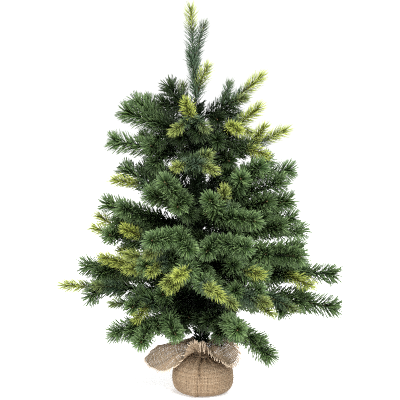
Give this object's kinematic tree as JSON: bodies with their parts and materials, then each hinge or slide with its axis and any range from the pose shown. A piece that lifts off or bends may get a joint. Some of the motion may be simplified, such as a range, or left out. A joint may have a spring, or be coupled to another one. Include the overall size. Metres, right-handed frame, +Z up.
{
  "type": "artificial tabletop tree",
  "caption": "Small artificial conifer with bendable wire branches of needle tips on a pole that stands in a weighted pot wrapped in gathered hessian.",
  "frame": {"origin": "on the table, under the centre of the pot", "axes": "+Z up, -Y towards the front of the tree, +X to its right as seen from the front"},
  "size_m": [0.4473, 0.3971, 0.609],
  "materials": {
    "cement": "matte",
    "pot_plastic": "matte",
    "steel": "satin",
    "green_tape": "matte",
    "hessian": "matte",
    "jute_twine": "matte",
    "pvc_needles": "satin",
    "pe_needles": "satin"
  },
  "bodies": {
    "base": {"base_weight": "cement", "base_pot": "pot_plastic", "hessian_wrap": "hessian", "wrap_tie": "jute_twine", "trunk_pole": "steel", "trunk_tape": "green_tape", "trunk_garland": "pvc_needles"},
    "branch_01": {"branch_01": "pvc_needles"},
    "branch_02": {"branch_02": "pvc_needles"},
    "branch_03": {"branch_03": "pe_needles"},
    "branch_04": {"branch_04": "pvc_needles"},
    "branch_05": {"branch_05": "pe_needles"},
    "branch_06": {"branch_06": "pe_needles"},
    "branch_07": {"branch_07": "pvc_needles"},
    "branch_08": {"branch_08": "pvc_needles"},
    "branch_09": {"branch_09": "pe_needles"},
    "branch_10": {"branch_10": "pe_needles"},
    "branch_11": {"branch_11": "pe_needles"},
    "branch_12": {"branch_12": "pe_needles"},
    "branch_13": {"branch_13": "pe_needles"},
    "branch_14": {"branch_14": "pvc_needles"},
    "branch_15": {"branch_15": "pe_needles"},
    "branch_16": {"branch_16": "pvc_needles"},
    "branch_17": {"branch_17": "pe_needles"},
    "branch_18": {"branch_18": "pe_needles"},
    "branch_19": {"branch_19": "pvc_needles"},
    "branch_20": {"branch_20": "pe_needles"},
    "branch_21": {"branch_21": "pe_needles"},
    "branch_22": {"branch_22": "pvc_needles"},
    "branch_23": {"branch_23": "pvc_needles"},
    "branch_24": {"branch_24": "pvc_needles"},
    "branch_25": {"branch_25": "pe_needles"},
    "branch_26": {"branch_26": "pvc_needles"},
    "branch_27": {"branch_27": "pe_needles"},
    "branch_28": {"branch_28": "pvc_needles"},
    "branch_29": {"branch_29": "pvc_needles"},
    "branch_30": {"branch_30": "pvc_needles"},
    "branch_31": {"branch_31": "pvc_needles"},
    "branch_32": {"branch_32": "pvc_needles"},
    "branch_33": {"branch_33": "pvc_needles"},
    "branch_34": {"branch_34": "pe_needles"},
    "branch_35": {"branch_35": "pvc_needles"},
    "branch_36": {"branch_36": "pvc_needles"},
    "branch_37": {"branch_37": "pe_needles"},
    "branch_38": {"branch_38": "pe_needles"},
    "branch_39": {"branch_39": "pe_needles"},
    "branch_40": {"branch_40": "pvc_needles"},
    "branch_41": {"branch_41": "pe_needles"},
    "branch_42": {"branch_42": "pe_needles"},
    "branch_43": {"branch_43": "pe_needles"},
    "branch_44": {"branch_44": "pvc_needles"},
    "branch_45": {"branch_45": "pe_needles"},
    "branch_46": {"branch_46": "pe_needles"},
    "branch_47": {"branch_47": "pvc_needles"},
    "leader_shoot": {"leader_shoot": "pe_needles"}
  },
  "joints": [
    {"name": "bend_01", "type": "hinge", "parent": "base", "child": "branch_01", "pos_m": [-0.00785, -0.00338, 0.134], "axis": [-0.5736, 0.8192, 0], "range_deg": [-20, 12]},
    {"name": "bend_02", "type": "hinge", "parent": "base", "child": "branch_02", "pos_m": [0.00067, -0.00452, 0.139], "axis": [-0.766, -0.6428, 0], "range_deg": [-20, 8]},
    {"name": "bend_03", "type": "hinge", "parent": "base", "child": "branch_03", "pos_m": [-0.0002, 0.00511, 0.14], "axis": [0.866, -0.5, 0], "range_deg": [-20, 12]},
    {"name": "bend_04", "type": "hinge", "parent": "base", "child": "branch_04", "pos_m": [-0.00619, 0.00511, 0.144], "axis": [0.866, 0.5, 0], "range_deg": [-20, 16]},
    {"name": "bend_05", "type": "hinge", "parent": "base", "child": "branch_05", "pos_m": [-0.00857, -0.00295, 0.154], "axis": [-0.5, 0.866, 0], "range_deg": [-12, 25]},
    {"name": "bend_06", "type": "hinge", "parent": "base", "child": "branch_06", "pos_m": [-0.00954, -0.00021, 0.162], "axis": [-0.0349, 0.9994, 0], "range_deg": [-20, 9]},
    {"name": "bend_07", "type": "hinge", "parent": "base", "child": "branch_07", "pos_m": [0.00211, -0.00082, 0.166], "axis": [-0.1392, -0.9903, 0], "range_deg": [-20, 13]},
    {"name": "bend_08", "type": "hinge", "parent": "base", "child": "branch_08", "pos_m": [-0.0038, 0.0059, 0.169], "axis": [1, 0, 0], "range_deg": [-12, 14]},
    {"name": "bend_09", "type": "hinge", "parent": "base", "child": "branch_09", "pos_m": [-0.00008, -0.00452, 0.172], "axis": [-0.766, -0.6428, 0], "range_deg": [-20, 15]},
    {"name": "bend_10", "type": "hinge", "parent": "base", "child": "branch_10", "pos_m": [-0.00907, 0.00295, 0.176], "axis": [0.5, 0.866, 0], "range_deg": [-14, 25]},
    {"name": "bend_11", "type": "hinge", "parent": "base", "child": "branch_11", "pos_m": [-0.00307, -0.00581, 0.182], "axis": [-0.9848, -0.1736, 0], "range_deg": [-7, 25]},
    {"name": "bend_12", "type": "hinge", "parent": "base", "child": "branch_12", "pos_m": [0.00069, 0.00338, 0.184], "axis": [0.5736, -0.8192, 0], "range_deg": [-20, 25]},
    {"name": "bend_13", "type": "hinge", "parent": "base", "child": "branch_13", "pos_m": [-0.01018, 0.00041, 0.191], "axis": [0.0698, 0.9976, 0], "range_deg": [-9, 6]},
    {"name": "bend_14", "type": "hinge", "parent": "base", "child": "branch_14", "pos_m": [0.00149, 0, 0.196], "axis": [0, -1, 0], "range_deg": [-13, 10]},
    {"name": "bend_15", "type": "hinge", "parent": "base", "child": "branch_15", "pos_m": [-0.00557, -0.00581, 0.202], "axis": [-0.9848, 0.1736, 0], "range_deg": [-20, 10]},
    {"name": "bend_16", "type": "hinge", "parent": "base", "child": "branch_16", "pos_m": [-0.00042, -0.00417, 0.204], "axis": [-0.7071, -0.7071, 0], "range_deg": [-15, 25]},
    {"name": "bend_17", "type": "hinge", "parent": "base", "child": "branch_17", "pos_m": [-0.00722, 0.00535, 0.21], "axis": [0.9063, 0.4226, 0], "range_deg": [-14, 11]},
    {"name": "bend_18", "type": "hinge", "parent": "base", "child": "branch_18", "pos_m": [-0.00894, -0.00417, 0.212], "axis": [-0.7071, 0.7071, 0], "range_deg": [-20, 9]},
    {"name": "bend_19", "type": "hinge", "parent": "base", "child": "branch_19", "pos_m": [0.00071, -0.00182, 0.218], "axis": [-0.309, -0.9511, 0], "range_deg": [-10, 15]},
    {"name": "bend_20", "type": "hinge", "parent": "base", "child": "branch_20", "pos_m": [-0.00298, 0.00554, 0.222], "axis": [0.9397, -0.342, 0], "range_deg": [-20, 19]},
    {"name": "bend_21", "type": "hinge", "parent": "base", "child": "branch_21", "pos_m": [-0.01096, -0.00051, 0.226], "axis": [-0.0872, 0.9962, 0], "range_deg": [-6, 9]},
    {"name": "bend_22", "type": "hinge", "parent": "base", "child": "branch_22", "pos_m": [-0.0031, -0.00547, 0.236], "axis": [-0.9272, -0.3746, 0], "range_deg": [-20, 25]},
    {"name": "bend_23", "type": "hinge", "parent": "base", "child": "branch_23", "pos_m": [0.0004, 0.00082, 0.242], "axis": [0.1392, -0.9903, 0], "range_deg": [-16, 12]},
    {"name": "bend_24", "type": "hinge", "parent": "base", "child": "branch_24", "pos_m": [-0.00775, -0.00547, 0.246], "axis": [-0.9272, 0.3746, 0], "range_deg": [-8, 25]},
    {"name": "bend_25", "type": "hinge", "parent": "base", "child": "branch_25", "pos_m": [-0.01046, 0.00338, 0.25], "axis": [0.5736, 0.8192, 0], "range_deg": [-12, 25]},
    {"name": "bend_26", "type": "hinge", "parent": "base", "child": "branch_26", "pos_m": [-0.01171, 0, 0.258], "axis": [0, 1, 0], "range_deg": [-9, 13]},
    {"name": "bend_27", "type": "hinge", "parent": "base", "child": "branch_27", "pos_m": [-0.00151, 0.00395, 0.262], "axis": [0.6691, -0.7431, 0], "range_deg": [-20, 20]},
    {"name": "bend_28", "type": "hinge", "parent": "base", "child": "branch_28", "pos_m": [-0.0065, 0.00588, 0.266], "axis": [0.9962, 0.0872, 0], "range_deg": [-20, 23]},
    {"name": "bend_29", "type": "hinge", "parent": "base", "child": "branch_29", "pos_m": [-0.00304, -0.005, 0.274], "axis": [-0.848, -0.5299, 0], "range_deg": [-20, 20]},
    {"name": "bend_30", "type": "hinge", "parent": "base", "child": "branch_30", "pos_m": [-0.0004, 0, 0.28], "axis": [0, -1, 0], "range_deg": [-14, 7]},
    {"name": "bend_31", "type": "hinge", "parent": "base", "child": "branch_31", "pos_m": [-0.00916, -0.00521, 0.284], "axis": [-0.8829, 0.4695, 0], "range_deg": [-20, 25]},
    {"name": "bend_32", "type": "hinge", "parent": "base", "child": "branch_32", "pos_m": [-0.01246, 0.00082, 0.294], "axis": [0.1392, 0.9903, 0], "range_deg": [-15, 22]},
    {"name": "bend_33", "type": "hinge", "parent": "base", "child": "branch_33", "pos_m": [-0.00101, -0.00153, 0.298], "axis": [-0.2588, -0.9659, 0], "range_deg": [-7, 12]},
    {"name": "bend_34", "type": "hinge", "parent": "base", "child": "branch_34", "pos_m": [-0.00389, 0.00511, 0.304], "axis": [0.866, -0.5, 0], "range_deg": [-20, 19]},
    {"name": "bend_35", "type": "hinge", "parent": "base", "child": "branch_35", "pos_m": [-0.01036, 0.00483, 0.31], "axis": [0.8192, 0.5736, 0], "range_deg": [-20, 21]},
    {"name": "bend_36", "type": "hinge", "parent": "base", "child": "branch_36", "pos_m": [-0.00154, -0.00041, 0.33], "axis": [-0.0698, -0.9976, 0], "range_deg": [-15, 14]},
    {"name": "bend_37", "type": "hinge", "parent": "base", "child": "branch_37", "pos_m": [-0.00765, 0.0059, 0.34], "axis": [1, 0, 0], "range_deg": [-20, 22]},
    {"name": "bend_38", "type": "hinge", "parent": "base", "child": "branch_38", "pos_m": [-0.0078, -0.0059, 0.356], "axis": [-0.9994, -0.0349, 0], "range_deg": [-20, 25]},
    {"name": "bend_39", "type": "hinge", "parent": "base", "child": "branch_39", "pos_m": [-0.00229, 0, 0.364], "axis": [0, -1, 0], "range_deg": [-15, 12]},
    {"name": "bend_40", "type": "hinge", "parent": "base", "child": "branch_40", "pos_m": [-0.01427, 0, 0.372], "axis": [0, 1, 0], "range_deg": [-20, 18]},
    {"name": "bend_41", "type": "hinge", "parent": "base", "child": "branch_41", "pos_m": [-0.00517, 0.00483, 0.38], "axis": [0.8192, -0.5736, 0], "range_deg": [-20, 25]},
    {"name": "bend_42", "type": "hinge", "parent": "base", "child": "branch_42", "pos_m": [-0.00314, -0.00182, 0.389], "axis": [-0.309, -0.9511, 0], "range_deg": [-12, 12]},
    {"name": "bend_43", "type": "hinge", "parent": "base", "child": "branch_43", "pos_m": [-0.01225, 0.00483, 0.394], "axis": [0.8192, 0.5736, 0], "range_deg": [-20, 20]},
    {"name": "bend_44", "type": "hinge", "parent": "base", "child": "branch_44", "pos_m": [-0.01499, 0.00021, 0.404], "axis": [0.0349, 0.9994, 0], "range_deg": [-20, 22]},
    {"name": "bend_45", "type": "hinge", "parent": "base", "child": "branch_45", "pos_m": [-0.0103, -0.00581, 0.412], "axis": [-0.9848, 0.1736, 0], "range_deg": [-20, 20]},
    {"name": "bend_46", "type": "hinge", "parent": "base", "child": "branch_46", "pos_m": [-0.00374, -0.00082, 0.426], "axis": [-0.1392, -0.9903, 0], "range_deg": [-15, 20]},
    {"name": "bend_47", "type": "hinge", "parent": "base", "child": "branch_47", "pos_m": [-0.01424, 0.00379, 0.432], "axis": [0.6428, 0.766, 0], "range_deg": [-15, 12]},
    {"name": "bend_leader", "type": "hinge", "parent": "base", "child": "leader_shoot", "pos_m": [-0.0101, 0, 0.449], "axis": [0, 1, 0], "range_deg": [-20, 20]}
  ]
}
